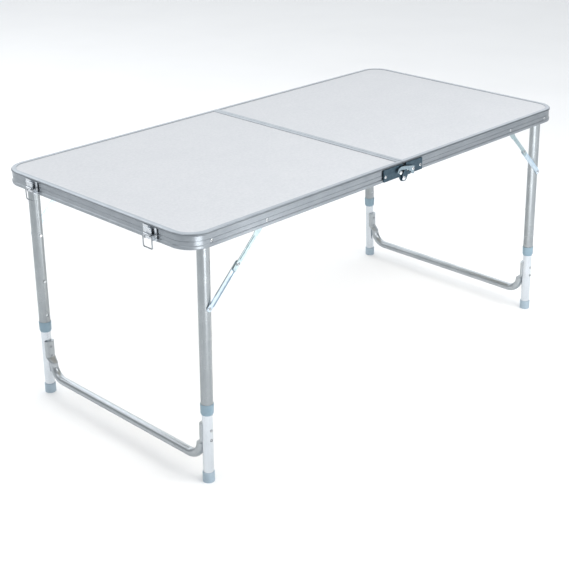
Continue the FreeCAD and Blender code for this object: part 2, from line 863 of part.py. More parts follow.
def build_feet(side):
    """Caps over the tube ends, cut level where they meet the floor."""
    outer = "Dims.FootDiameter / 2"
    tube = "Dims.LowerTube / 2"
    profile = [
        (tube, "-Dims.FootTop - 0.4"),
        (f"{outer} - 0.8", "-Dims.FootTop"),
        (outer, "-Dims.FootTop - 1"),
        (outer, "-Dims.LowerEnd - 8"),
        (0, "-Dims.LowerEnd - 8"),
        (0, "-Dims.LowerEnd"),
        (tube, "-Dims.LowerEnd"),
    ]
    label = f"{side}_feet"
    cap = turned_body(label, profile, -LEG_SIDE)
    floor = unique("Part::Box", label + "_floor")
    floor.Length = floor.Width = 60
    floor.Height = 30
    below_foot = Placement(Vector(-HALF_LENGTH, -LEG_SIDE - 30, -30), Rotation())
    floor.Placement = LEG_PLACE.inverse().multiply(below_foot)
    foot = unique("Part::Cut", label + "_cut")
    foot.Base = cap
    foot.Tool = floor
    foot.Placement = side_placement(side, LEG_PLACE)
    pair(label, foot)


STRETCHER_RIVETS = (407, 429)
SADDLE_CREST = SIZES["LowerTube"] / 2 + 5.5


def stretcher_solid():
    """A hollow floor tube, bent up at both ends and crushed to a saddle round each leg."""
    radius = SIZES["StretcherTube"] / 2
    side = SIZES["StretcherSide"]
    low = -SIZES["StretcherDrop"]
    start = low + SIZES["StretcherBend"]
    corners = [Vector(0, -side, start + 1), Vector(0, -side, low)]
    corners += [Vector(0, side, low), Vector(0, side, start + 1)]
    tube = rod(corners, SIZES["StretcherBend"], radius)
    bore = rod(corners, SIZES["StretcherBend"], radius - SIZES["TubeWall"])
    half_thick, half_wide = 6.5, 12
    flat_side = LEG_SIDE - SADDLE_CREST + half_thick
    for sign in (-1, 1):
        round_end = Part.Circle(Vector(0, sign * side, start + 1), Vector(0, 0, 1), radius)
        flat = Part.Ellipse(Vector(), half_wide, half_thick)
        flat.Center = Vector(0, sign * flat_side, -SIZES["StretcherFlat"])
        sections = [Part.Wire(round_end.toShape()), Part.Wire(flat.toShape())]
        shoulder = Part.makeLoft(sections, True, True)
        rise = SIZES["StretcherFlat"] - SIZES["StretcherTop"]
        tab = Part.Face(sections[1]).extrude(Vector(0, 0, rise))
        tube = tube.fuse(shoulder).fuse(tab)
    tube = tube.cut(bore)
    saddle = SIZES["LowerTube"] / 2 + 0.05
    for sign in (-1, 1):
        leg_end = Vector(0, sign * LEG_SIDE, -SIZES["StretcherDrop"] - 30)
        tube = tube.cut(Part.makeCylinder(saddle, 120, leg_end))
        for drop in STRETCHER_RIVETS:
            start_side = Vector(0, sign * (LEG_SIDE - 30), -drop)
            tube = tube.cut(Part.makeCylinder(2.0, 30, start_side, Vector(0, sign, 0)))
    return tube


def build_stretcher(side):
    feature(f"{side}_stretcher", stretcher_solid(), side_placement(side, LEG_PLACE))
    leg_outer = LEG_SIDE + SIZES["LowerTube"] / 2
    tail = LEG_SIDE - SADDLE_CREST
    solids = []
    for drop in STRETCHER_RIVETS:
        place = Vector(0, -leg_outer, -drop)
        solids += facing_pair(
            place, Vector(0, -1, 0), leg_outer - tail, shank=2.0, head=3.2, rise=1.3
        )
    label = f"{side}_stretcher_rivets"
    feature(label, Part.makeCompound(solids), side_placement(side, LEG_PLACE))


def build_snap_buttons(side):
    """Sprung buttons that hold the lower tubes at either hole."""
    radius = SIZES["ButtonRadius"]
    proud = 2.6
    tube_inner = LEG_SIDE - SIZES["LowerTube"] / 2 + SIZES["TubeWall"]
    flange_seat = tube_inner + 1.5
    length = flange_seat - (LEG_SIDE - SIZES["UpperTube"] / 2)
    profile = [(0, -length - 1.2), (4.2, -length - 1.2), (4.2, -length), (radius, -length)]
    profile += [(radius, proud - 1.2)] + dome(radius, 1.2, proud - 1.2)[1:]
    place = Vector(0, INNER_FACE, -SIZES["ButtonDrop"])
    label, _ = twin_names(side, "snap_button")
    item = unique("Part::Feature", label)
    item.Shape = Part.makeCompound([turned(profile, place, Vector(0, 1, 0))])
    keep_twins(side, "snap_button", item, LEG_PLACE)

    spring = new_body(f"{side}_button_springs")
    near = -(flange_seat + 1.25)
    far = -(LEG_SIDE + SIZES["LowerTube"] / 2 - SIZES["TubeWall"] - 0.65)
    thick = 0.5
    top = -SIZES["LowerTop"] - 4
    drop = -SIZES["ButtonDrop"]
    strip = [
        (near, drop - 8),
        (near, top - 5),
        (near - 3, top),
        (far + 3, top),
        (far, top - 5),
        (far, drop - 14),
        (far + thick, drop - 14),
        (far + thick, top - 5 - 0.2),
        (far + 3.2, top - thick),
        (near - 3.2, top - thick),
        (near - thick, top - 5 - 0.2),
        (near - thick, drop - 8),
    ]
    add_pad(spring, "YZ_Plane", -3, strip, 6)
    spring.Placement = side_placement(side, LEG_PLACE)
    pair(f"{side}_button_springs", spring)


def build_leg_rivets(side):
    """Rivets that carry the lower brace links on the legs."""
    seat = SIZES["LowerLinkSide"] + SIZES["LinkThick"] + 0.15
    spacer_end = SIZES["LowerLinkSide"] - 0.15
    tube_in = LEG_TUBE_IN
    profile = [(0, tube_in - 1.4 - seat), (3.0, tube_in - 1.4 - seat), (3.4, tube_in - seat)]
    profile += [(2.0, tube_in - seat), (2.0, LEG_TUBE_OUT - seat), (4.0, LEG_TUBE_OUT - seat)]
    profile += [(4.0, spacer_end - seat), (2.2, spacer_end - seat), (2.2, 0)]
    profile += dome(3.5, 1.2, 0)
    solids = []
    for sign in (-1, 1):
        place = Vector(0, sign * seat, -SIZES["BraceLegDrop"])
        solids.append(turned(profile, place, Vector(0, sign, 0)))
    label = f"{side}_leg_rivets"
    feature(label, Part.makeCompound(solids), side_placement(side, LEG_PLACE))


# ---------------------------------------------------------------- folding braces

SPLAY = math.radians(SIZES["LegSplay"])
RAIL_PIVOT = (SIZES["BraceRailReach"], 0.0)
LEG_PIVOT = (
    -SIZES["BraceLegDrop"] * math.sin(SPLAY),
    -SIZES["BraceLegDrop"] * math.cos(SPLAY),
)
SPAN = math.dist(RAIL_PIVOT, LEG_PIVOT)
FOLDED_OFFSET = SIZES["BraceRailReach"] - SIZES["BraceLegDrop"]
UPPER_LINK = (SPAN + FOLDED_OFFSET) / 2
LOWER_LINK = (SPAN - FOLDED_OFFSET) / 2
LINK_ANGLE = math.atan2(RAIL_PIVOT[1] - LEG_PIVOT[1], RAIL_PIVOT[0] - LEG_PIVOT[0])


def link_place(pivot, angle):
    """Place a link drawn along +X so that it leaves its pivot at an angle in the XZ plane."""
    start = Vector(-SIZES["LegPivotReach"] + pivot[0], 0, RIVET_LEVEL + pivot[1])
    return Placement(start, Rotation(Vector(0, 1, 0), -math.degrees(angle)))


def build_upper_link(side):
    """The link on the frame: a wide tab at the rivet, then a ribbed strip and a stop tail."""
    own, _ = twin_names(side, "upper_brace")
    body = new_body(own)
    tab_end, tab_half, half, tail = 34, 6.5, SIZES["LinkWidth"] / 2, 15
    end = UPPER_LINK + tail
    corners = [
        (-tab_half, -tab_half),
        (tab_end, -tab_half),
        (tab_end + 2, -half),
        (end, -half),
        (end, half),
        (tab_end + 2, half),
        (tab_end, tab_half),
        (-tab_half, tab_half),
    ]
    level = SIZES["UpperLinkSide"]
    holes = [((0, 0), 2.55), ((UPPER_LINK, 0), 2.0)]
    pad = add_pad(body, "XZ_Plane", level, corners, "Dims.LinkThick", holes)
    rounded = round_corners(body, pad, "XZ_Plane", (corners[0], corners[-1]), tab_half - 0.2)
    round_corners(body, rounded, "XZ_Plane", (corners[3],), half - 0.5)
    rib_start, rib_end, rib_half = tab_end + 4, UPPER_LINK - 9, 1.8
    rib = [
        (rib_start, -rib_half),
        (rib_end, -rib_half),
        (rib_end, rib_half),
        (rib_start, rib_half),
    ]
    add_pad(body, "XZ_Plane", level + SIZES["LinkThick"], rib, 0.9)
    place = link_place(RAIL_PIVOT, math.pi + LINK_ANGLE)
    keep_twins(side, "upper_brace", body, place)

    profile = [(0, 0.05), (2.0, 0.05), (2.0, SIZES["LinkThick"])]
    profile += dome(3.6, 1.5, SIZES["LinkThick"])
    solids = []
    for sign in (-1, 1):
        spot = Vector(UPPER_LINK, sign * level, 0)
        solids.append(turned(profile, spot, Vector(0, sign, 0)))
    label = f"{side}_knuckle_rivets"
    feature(label, Part.makeCompound(solids), side_placement(side, place))


def build_lower_link(side):
    """The link on the leg: a shallow channel with turned-up edges."""
    own, _ = twin_names(side, "lower_brace")
    body = new_body(own)
    half, edge = SIZES["LinkWidth"] / 2 + 1, 1.2
    end = LOWER_LINK + 7
    corners = [(-half, -half), (end, -half), (end, half), (-half, half)]
    level = SIZES["LowerLinkSide"]
    holes = [((0, 0), 2.35), ((LOWER_LINK, 0), 2.0)]
    pad = add_pad(body, "XZ_Plane", level, corners, "Dims.LinkThick", holes)
    round_corners(body, pad, "XZ_Plane", corners, half - 0.3)
    flange_start, flange_end = 7, LOWER_LINK - 3
    for low, high in ((-half, -half + edge), (half - edge, half)):
        flange = [(flange_start, low), (flange_end, low), (flange_end, high), (flange_start, high)]
        add_pad(body, "XZ_Plane", level, flange, "Dims.LinkThick + 1.4")
    keep_twins(side, "lower_brace", body, link_place(LEG_PIVOT, LINK_ANGLE))


# ---------------------------------------------------------------- latches, keepers and handle

LATCH_SIDE = SIZES["LatchSide"]
LEVER_PIVOT = Vector(-HALF_LENGTH - 4.6, -LATCH_SIDE, TOP - 26)
LOOP_PIVOT = Vector(-HALF_LENGTH - 8.2, -LATCH_SIDE, TOP - 20)
LOOP_HANG = 25.5
WIRE = 1.3
BASE_THICK = 1.5


def box_between(low, high):
    """A box from its lowest corner to its highest corner."""
    size = high - low
    return Part.makeBox(size.x, size.y, size.z, low)


def build_latches():
    """Draw latches on the left end: riveted base, turning lever and hanging wire loop."""
    face = -HALF_LENGTH
    y = -LATCH_SIDE
    base = box_between(
        Vector(face - BASE_THICK, y - 19.5, TOP - 31), Vector(face, y + 19.5, TOP - 4)
    )
    for offset in (-12.4, 11.0):
        cheek = box_between(
            Vector(face - 6.2, y + offset, TOP - 30), Vector(face, y + offset + 1.4, TOP - 20)
        )
        base = base.fuse(cheek)
    pin_way = Part.makeCylinder(1.7, 40, LEVER_PIVOT - Vector(0, 20, 0), Vector(0, 1, 0))
    base = base.cut(pin_way).removeSplitter()
    for offset in (-16, 16):
        start = Vector(face - 5, y + offset, RIVET_LEVEL)
        base = base.cut(Part.makeCylinder(END_HOLE, 10, start, Vector(1, 0, 0)))
    bases = unique("Part::Feature", "latch_base_front")
    bases.Shape = base
    pair("latch_bases", bases)

    plate = box_between(
        LEVER_PIVOT + Vector(-1.7, -9, -1.4), LEVER_PIVOT + Vector(-0.2, 9, 20)
    )
    lip = box_between(LEVER_PIVOT + Vector(-4.6, -9, 18.5), LEVER_PIVOT + Vector(-0.2, 9, 20))
    pin = Part.makeCylinder(1.5, 26, LEVER_PIVOT - Vector(0, 13, 0), Vector(0, 1, 0))
    sleeve = Part.makeCylinder(2.6, 18, LOOP_PIVOT - Vector(0, 9, 0), Vector(0, 1, 0))
    web = box_between(LOOP_PIVOT + Vector(0, -9, -2.2), LOOP_PIVOT + Vector(2.6, 9, 2.2))
    bore = Part.makeCylinder(WIRE + 0.2, 30, LOOP_PIVOT - Vector(0, 15, 0), Vector(0, 1, 0))
    lever = plate.fuse([lip, pin, sleeve, web]).cut(bore).removeSplitter()
    front_lever = feature("front_latch_lever", lever)
    mirror_copy("rear_latch_lever", front_lever)

    half = 13
    drop = Vector(0, 0, -LOOP_HANG)
    corners = [
        LOOP_PIVOT,
        LOOP_PIVOT + Vector(0, half, 0),
        LOOP_PIVOT + Vector(0, half, 0) + drop,
        LOOP_PIVOT + Vector(0, -half, 0) + drop,
        LOOP_PIVOT + Vector(0, -half, 0),
        LOOP_PIVOT,
    ]
    front_loop = feature("front_latch_loop", rod(corners, 3, WIRE))
    mirror_copy("rear_latch_loop", front_loop)


def build_keepers():
    """Hooked keepers on the right end that the latch loops pull on when the case is shut."""
    face = HALF_LENGTH
    y = -LATCH_SIDE
    shelf = 2 * HINGE_LEVEL - (LOOP_PIVOT.z - LOOP_HANG) - WIRE - 0.25
    plate = box_between(Vector(face, y - 15.5, TOP - 31), Vector(face + BASE_THICK, y + 15.5, TOP - 4))
    tongue = box_between(Vector(face, y - 8, shelf - 1.5), Vector(face + 10.8, y + 8, shelf))
    lip = box_between(Vector(face + 9.9, y - 8, shelf - 1.5), Vector(face + 10.8, y + 8, shelf + 3.6))
    keeper = plate.fuse([tongue, lip]).removeSplitter()
    for offset in (-12, 12):
        start = Vector(face - 5, y + offset, RIVET_LEVEL)
        keeper = keeper.cut(Part.makeCylinder(END_HOLE, 10, start, Vector(1, 0, 0)))
    front = unique("Part::Feature", "keeper_front")
    front.Shape = keeper
    pair("latch_keepers", front)


def build_handle():
    """A carrying bail that hangs on the right end between two pairs of lugs."""
    face = HALF_LENGTH
    y = -SIZES["HandleSide"]
    pivot = Vector(face + 6, y, TOP - SIZES["HandleDrop"])
    bracket = box_between(Vector(face, y - 16, TOP - 30), Vector(face + BASE_THICK, y + 16, TOP - 4))
    for offset in (-7.6, 6.2):
        start = pivot + Vector(0, offset, 0)
        lug = Part.makeCylinder(5, 1.4, start, Vector(0, 1, 0))
        web = box_between(Vector(face, start.y, pivot.z - 5), Vector(pivot.x, start.y + 1.4, pivot.z + 5))
        bracket = bracket.fuse([lug, web])
    pin = Part.makeCylinder(2.0, 15.2, pivot - Vector(0, 7.6, 0), Vector(0, 1, 0))
    bracket = bracket.fuse(pin).removeSplitter()
    for offset in (-12.5, 12.5):
        start = Vector(face - 5, y + offset, RIVET_LEVEL)
        bracket = bracket.cut(Part.makeCylinder(END_HOLE, 10, start, Vector(1, 0, 0)))
    front = unique("Part::Feature", "handle_bracket_front")
    front.Shape = bracket
    pair("handle_brackets", front)

    radius = SIZES["HandleRadius"]
    low = pivot.z - SIZES["HandleHang"]
    inset = 14
    corners = [pivot, Vector(pivot.x, y, low + 14), Vector(pivot.x, y + inset, low)]
    corners += [Vector(point.x, -point.y, point.z) for point in reversed(corners)]
    bail = rod(corners, 12, radius)
    for sign in (-1, 1):
        centre = Vector(pivot.x, sign * y, pivot.z)
        eye = Part.makeCylinder(radius, 11, centre - Vector(0, 5.5, 0), Vector(0, 1, 0))
        way = Part.makeCylinder(2.25, 30, centre - Vector(0, 15, 0), Vector(0, 1, 0))
        bail = bail.fuse(eye).cut(way)
    feature("handle_grip", bail.removeSplitter())


# ---------------------------------------------------------------- build and export


def build_leg_frame(side):
    build_upper_tubes(side)
    build_collars(side)
    build_lower_tubes(side)
    build_stretcher(side)
    build_feet(side)
    build_snap_buttons(side)
    build_leg_rivets(side)
    build_upper_link(side)
    build_lower_link(side)


for end in ENDS:
    build_leaf(end)
    build_leg_frame(end)
build_left_hinge_plate()
build_right_hinge_plate()
build_hinge_pins()
build_lock_studs()
build_lock_hook()
build_latches()
build_keepers()
build_handle()
doc.recompute()

for item in doc.Objects:
    if "Invalid" in item.State or "Error" in item.State:
        raise ValueError(f"{item.Label} failed: {item.State}")
for label, item in nodes.items():
    if item.Shape.isNull() or not item.Shape.isValid():
        raise ValueError(f"{label} has no valid shape")

os.makedirs("parts", exist_ok=True)
for label, item in nodes.items():
    item.Shape.exportStep(f"parts/{label}.step")

print(len(nodes), "pieces written")
print(f"links {UPPER_LINK:.2f} and {LOWER_LINK:.2f} mm, at {math.degrees(LINK_ANGLE):.3f} degrees")
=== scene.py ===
"""Looks of the folding table: materials, rivet marks, a moulded handle, floor, lights and camera."""
import json
import math

import bmesh
import bpy
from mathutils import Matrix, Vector

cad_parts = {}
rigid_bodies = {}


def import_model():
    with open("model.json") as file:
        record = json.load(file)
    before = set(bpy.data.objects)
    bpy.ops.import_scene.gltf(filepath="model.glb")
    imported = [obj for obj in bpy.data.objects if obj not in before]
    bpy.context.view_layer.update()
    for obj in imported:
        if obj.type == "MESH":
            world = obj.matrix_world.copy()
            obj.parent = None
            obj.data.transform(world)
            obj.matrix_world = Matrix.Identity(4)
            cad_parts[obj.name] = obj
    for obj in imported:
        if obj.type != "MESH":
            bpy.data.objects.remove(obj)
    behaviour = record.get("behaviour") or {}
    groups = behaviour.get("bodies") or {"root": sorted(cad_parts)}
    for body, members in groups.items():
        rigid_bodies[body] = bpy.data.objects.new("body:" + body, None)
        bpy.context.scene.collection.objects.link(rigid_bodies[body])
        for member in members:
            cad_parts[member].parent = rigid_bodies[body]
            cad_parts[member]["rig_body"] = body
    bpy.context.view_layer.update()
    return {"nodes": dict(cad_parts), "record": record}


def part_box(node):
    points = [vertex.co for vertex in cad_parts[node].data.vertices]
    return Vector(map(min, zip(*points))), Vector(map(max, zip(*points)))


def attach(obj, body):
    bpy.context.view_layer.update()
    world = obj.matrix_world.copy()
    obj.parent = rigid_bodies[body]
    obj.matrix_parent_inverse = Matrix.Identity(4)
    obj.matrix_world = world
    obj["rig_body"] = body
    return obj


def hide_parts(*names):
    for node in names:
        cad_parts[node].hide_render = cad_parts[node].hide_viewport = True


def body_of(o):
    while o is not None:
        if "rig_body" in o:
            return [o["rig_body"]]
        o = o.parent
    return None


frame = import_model()
nodes = frame["nodes"]
MM = 0.001
SIDES = ("left", "right")


# ---------------------------------------------------------------- node helpers
class Material:
    """A node material with one Principled shader, and short calls for the nodes that feed it."""

    # the Mix node's colour sockets share their names with its number sockets, so they go by index
    MIX_SOCKETS = (0, 6, 7)
    MIX_RESULT = 2

    def __init__(self, name, metallic=0.0, ior=1.5):
        self.material = bpy.data.materials.new(name)
        self.material.use_nodes = True
        self.tree = self.material.node_tree
        self.shader = self.tree.nodes["Principled BSDF"]
        self.shader.inputs["Metallic"].default_value = metallic
        self.shader.inputs["IOR"].default_value = ior
        self.place = self.add("ShaderNodeTexCoord").outputs["Object"]

    def add(self, kind, **settings):
        node = self.tree.nodes.new(kind)
        for name, value in settings.items():
            setattr(node, name, value)
        return node

    def link(self, output, target):
        self.tree.links.new(output, target)

    def stretched(self, scale):
        """Object coordinates multiplied by a scale for each axis."""
        mapping = self.add("ShaderNodeMapping")
        mapping.inputs["Scale"].default_value = scale
        self.link(self.place, mapping.inputs["Vector"])
        return mapping.outputs["Vector"]

    def noise(self, scale, detail=3.0, rough=0.5, stretch=(1, 1, 1)):
        """Noise from 0 to 1 whose grain is 1/scale metres, longer along an axis with a small stretch."""
        node = self.add("ShaderNodeTexNoise")
        node.inputs["Scale"].default_value = scale
        node.inputs["Detail"].default_value = detail
        node.inputs["Roughness"].default_value = rough
        self.link(self.stretched(stretch), node.inputs["Vector"])
        return node.outputs["Fac"]

    def ramp(self, value, stops):
        """Colours or greys at the given positions along a value."""
        node = self.add("ShaderNodeValToRGB")
        elements = node.color_ramp.elements
        while len(elements) < len(stops):
            elements.new(0.5)
        for element, (position, colour) in zip(elements, stops):
            element.position = position
            element.color = (*colour, 1) if isinstance(colour, tuple) else (colour, colour, colour, 1)
        self.link(value, node.inputs["Fac"])
        return node.outputs["Color"]

    def math(self, operation, first, second):
        """A sum or comparison of two values, each a number or a node's output."""
        node = self.add("ShaderNodeMath", operation=operation)
        for socket, value in zip(node.inputs, (first, second)):
            if isinstance(value, (int, float)):
                socket.default_value = value
            else:
                self.link(value, socket)
        return node.outputs["Value"]

    def mix(self, factor, first, second, blend="MIX"):
        """Two colours blended by a factor, which is a number or a node's output."""
        node = self.add("ShaderNodeMix", data_type="RGBA", blend_type=blend)
        for index, value in zip(self.MIX_SOCKETS, (factor, first, second)):
            if isinstance(value, (int, float)):
                node.inputs[index].default_value = value
            else:
                self.link(value, node.inputs[index])
        return node.outputs[self.MIX_RESULT]

    def colour(self, output):
        self.link(output, self.shader.inputs["Base Color"])

    def roughness(self, output):
        self.link(output, self.shader.inputs["Roughness"])

    def bump(self, height, distance):
        """Relief from 0 to a distance in metres."""
        node = self.add("ShaderNodeBump")
        node.inputs["Distance"].default_value = distance
        self.link(height, node.inputs["Height"])
        self.link(node.outputs["Normal"], self.shader.inputs["Normal"])


def facing_up(m):
    """1 on faces that look up, 0 elsewhere."""
    geometry = m.add("ShaderNodeNewGeometry")
    split = m.add("ShaderNodeSeparateXYZ")
    m.link(geometry.outputs["Normal"], split.inputs["Vector"])
    return m.math("GREATER_THAN", split.outputs["Z"], 0.5)


# ---------------------------------------------------------------- materials, one function each
def top_laminate():
    """Printed board: a fine grey mottle on top, and bare brown board on its other faces."""
    m = Material("top_laminate", ior=1.35)
    clouds = m.noise(14, detail=2)
    mottle = m.noise(190, detail=4, rough=0.62)
    flecks = m.noise(620, detail=2)
    grain = m.ramp(
        mottle,
        [(0.35, (0.463, 0.472, 0.490)), (0.52, (0.494, 0.502, 0.518)), (0.68, (0.521, 0.527, 0.541))],
    )
    drifts = m.ramp(clouds, [(0.3, (0.972, 0.975, 0.978)), (0.7, (1.0, 1.0, 1.0))])
    board = m.ramp(mottle, [(0.3, (0.50, 0.46, 0.40)), (0.7, (0.60, 0.56, 0.49))])
    face = m.mix(1.0, grain, drifts, "MULTIPLY")
    m.colour(m.mix(facing_up(m), board, face))
    m.roughness(m.ramp(mottle, [(0.3, 0.50), (0.7, 0.60)]))
    m.bump(m.math("ADD", m.math("MULTIPLY", mottle, 0.6), m.math("MULTIPLY", flecks, 0.4)), 0.00012)
    return m.material


def metal(name, dark, light, rough, stretch, line_scale, line_depth, patch_scale=35):
    """Metal with fine lines along its length, and soft patches of tone and polish.

    dark and light are its base colours, and rough is its middle roughness. stretch is the noise's scale
    along each axis, small along the lines. line_scale and patch_scale are in 1/metre, line_depth in metres.
    """
    m = Material(name, metallic=1.0)
    patches = m.noise(patch_scale, detail=3)
    lines = m.noise(line_scale, detail=2, stretch=stretch)
    tone = m.math("ADD", m.math("MULTIPLY", patches, 0.55), m.math("MULTIPLY", lines, 0.45))
    m.colour(m.ramp(tone, [(0.3, dark), (0.7, light)]))
    m.roughness(m.ramp(tone, [(0.25, rough + 0.05), (0.75, rough - 0.04)]))
    m.bump(lines, line_depth)
    return m.material


def frame_aluminium():
    """The frames and centre rails: lines run along the extrusion, so they change with height alone."""
    return metal(
        "frame_aluminium", (0.25, 0.275, 0.30), (0.31, 0.335, 0.36), 0.30, (0.004, 0.004, 1), 900, 0.00005
    )


def tube_aluminium():
    """Satin outer tubes, darker than the inner tubes partly as painted shade from the table above them."""
    return metal(
        "tube_aluminium", (0.29, 0.315, 0.33), (0.355, 0.38, 0.395), 0.28, (1, 1, 0.01), 700, 0.00004
    )


def polished_and_lit_tube_aluminium():
    """The inner tubes: a brighter base colour, partly a polished finish and partly painted light, standing
    in for the light they catch below the shade of the table.
    """
    return metal(
        "polished_and_lit_tube_aluminium", (0.58, 0.62, 0.66), (0.68, 0.72, 0.76), 0.24, (1, 1, 0.01), 700, 0.00004
    )


def stretcher_aluminium():
    """The bent floor bars, a little brighter than the outer tubes."""
    return metal(
        "stretcher_aluminium", (0.36, 0.39, 0.41), (0.44, 0.47, 0.49), 0.30, (1, 0.02, 1), 700, 0.00004
    )


def brace_zinc():
    """The links on the legs, bright blue zinc plate."""
    return metal(
        "brace_zinc", (0.50, 0.60, 0.68), (0.66, 0.77, 0.86), 0.30, (0.2, 1, 0.2), 500, 0.00005, 110
    )


def shaded_brace_zinc():
    """Painted shade: the links at the rail, a darker copy of the leg links' zinc that stands in for the
    shade under the table top.
    """
    return metal(
        "shaded_brace_zinc", (0.36, 0.45, 0.47), (0.48, 0.58, 0.61), 0.32, (0.2, 1, 0.2), 500, 0.00005, 110
    )


def hinge_zinc():
    """The centre hinge plates, dark blue zinc plate."""
    return metal(
        "hinge_zinc", (0.040, 0.068, 0.092), (0.078, 0.120, 0.150), 0.34, (0.1, 1, 1), 500, 0.00005, 140
    )


def hook_zinc():
    """The lock hooks, lighter than the plates behind them."""
    return metal("hook_zinc", (0.20, 0.27, 0.31), (0.33, 0.41, 0.46), 0.26, (0.1, 1, 1), 500, 0.00005, 180)


def bracket_zinc():
    """The brackets that join rail and frame."""
    return metal(
        "bracket_zinc", (0.45, 0.50, 0.54), (0.58, 0.63, 0.67), 0.34, (1, 0.1, 1), 500, 0.00005, 110
    )


def rivet_steel():
    """Bright rivets, hinge pins and lock studs."""
    return metal("rivet_steel", (0.68, 0.70, 0.72), (0.80, 0.82, 0.84), 0.22, (1, 1, 1), 900, 0.00003, 300)


def rivet_pit_shade():
    """Painted shade: near-black steel in the pit round the stub of a set rivet, darkened to stand in for the
    shade that falls in it.
    """
    return metal("rivet_pit_shade", (0.05, 0.055, 0.06), (0.10, 0.11, 0.12), 0.45, (1, 1, 1), 900, 0.00003, 300)


def latch_steel():
    """Latch levers, bases and keepers, and the handle's brackets."""
    return metal(
        "latch_steel", (0.50, 0.53, 0.56), (0.64, 0.67, 0.70), 0.26, (1, 0.05, 1), 600, 0.00004, 120
    )


def wire_steel():
    """The wire loops, and the darker rivets of the floor bars."""
    return metal("wire_steel", (0.22, 0.24, 0.26), (0.34, 0.36, 0.38), 0.30, (1, 1, 1), 900, 0.00003, 200)


def button_steel():
    """Snap buttons."""
    return metal("button_steel", (0.55, 0.58, 0.60), (0.70, 0.73, 0.75), 0.25, (1, 1, 1), 900, 0.00003, 300)


def spring_steel():
    """Dark rolled spring strip."""
    return metal(
        "spring_steel", (0.22, 0.23, 0.25), (0.32, 0.33, 0.35), 0.35, (0.1, 1, 1), 600, 0.00004, 160
    )


def moulded(name, dark, light, rough, grain_depth):
    """Moulded plastic: an even spark-eroded grain, slightly cloudy colour."""
    m = Material(name, ior=1.47)
    clouds = m.noise(60, detail=3)
    grain = m.noise(1700, detail=2)
    m.colour(m.ramp(clouds, [(0.3, dark), (0.7, light)]))
    m.roughness(m.ramp(grain, [(0.3, rough + 0.06), (0.7, rough - 0.04)]))
    m.bump(grain, grain_depth)
    return m.material


def collar_plastic():
    """Blue-grey collars at the ends of the upper tubes."""
    return moulded("collar_plastic", (0.215, 0.315, 0.385), (0.265, 0.370, 0.440), 0.40, 0.00006)


def foot_plastic():
    """Paler feet, in the same family of plastic."""
    return moulded("foot_plastic", (0.330, 0.420, 0.490), (0.385, 0.475, 0.545), 0.44, 0.00006)


def handle_plastic():
    """Dark grey grip."""
    return moulded("handle_plastic", (0.115, 0.125, 0.135), (0.150, 0.160, 0.170), 0.42, 0.00010)


MATERIALS = (
    top_laminate, frame_aluminium, tube_aluminium, polished_and_lit_tube_aluminium, stretcher_aluminium,
    collar_plastic, foot_plastic, brace_zinc, shaded_brace_zinc, hinge_zinc, hook_zinc, bracket_zinc,
    rivet_steel, rivet_pit_shade, latch_steel, wire_steel, button_steel, spring_steel, handle_plastic,
)

# nodes whose names end like this look different from the rest of their material slot
SPECIAL_FINISH = {
    # partly painted light: the inner tubes get a brighter copy of the tube aluminium
    "lower_tube": "polished_and_lit_tube_aluminium",
    # painted shade: the links at the rail get a darker copy of the brace zinc
    "upper_brace": "shaded_brace_zinc",
    "lock_hook": "hook_zinc",
    "_stretcher": "stretcher_aluminium",
    "stretcher_rivets": "wire_steel",
}


def paint_frame():
    """Gives every CAD node its finish: its material slot's, unless SPECIAL_FINISH names another."""
    made = {build.__name__: build() for build in MATERIALS}
    for part in frame["record"]["subparts"]:
        finish = made[part["material_slot"]]
        for ending, other in SPECIAL_FINISH.items():
            if part["node"].endswith(ending):
                finish = made[other]
        mesh = nodes[part["node"]].data
        mesh.materials.clear()
        mesh.materials.append(finish)
    return made


# ---------------------------------------------------------------- mesh pieces
def add_piece(name, node, rings, finishes, finish_of=None, closed=True):
    """A skin over each set of rings of points, which rides with a CAD node's body.

    finish_of picks a finish for each gap between rings, and its last entry is for the two end caps.
    """
    mesh = bmesh.new()
    for loop_set in rings:
        rows = [[mesh.verts.new(point) for point in loop] for loop in loop_set]
        for gap, (first, second) in enumerate(zip(rows, rows[1:])):
            count = len(first)
            for i in range(count):
                j = (i + 1) % count
                face = mesh.faces.new((first[i], first[j], second[j], second[i]))
                face.smooth = True
                face.material_index = finish_of[gap] if finish_of else 0
        if closed:
            for row in (rows[0], rows[-1]):
                mesh.faces.new(row).material_index = finish_of[-1] if finish_of else 0
    bmesh.ops.recalc_face_normals(mesh, faces=mesh.faces)
    data = bpy.data.meshes.new(name)
    mesh.to_mesh(data)
    mesh.free()
    for finish in finishes:
        data.materials.append(finish)
    piece = bpy.data.objects.new(name, data)
    bpy.context.scene.collection.objects.link(piece)
    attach(piece, body_of(nodes[node])[0])
    return piece


def ring(centre, across, along, count=24):
    """Points round a centre, from its two half axes."""
    angles = [math.tau * step / count for step in range(count)]
    return [centre + across * math.cos(a) + along * math.sin(a) for a in angles]


def solids_of(node):
    """The points of each separate solid in a CAD node."""
    data = nodes[node].data
    places = [tuple(round(value, 6) for value in vertex.co) for vertex in data.vertices]
    parent = {place: place for place in places}

    def root(place):
        while parent[place] != place:
            parent[place] = parent[parent[place]]
            place = parent[place]
        return place

    for edge in data.edges:
        first, second = (root(places[index]) for index in edge.vertices)
        parent[first] = second
    groups = {}
    for place in sorted(parent):
        groups.setdefault(root(place), []).append(Vector(place))
    return list(groups.values())


TIP_DEPTH = 0.02 * MM  # points this near a solid's end are its tip
OFF_CENTRE = 0.3 * MM  # a tip further than this from the middle isn't a crown
HEAD_DEPTH = 2 * MM  # a head lies within this of its crown


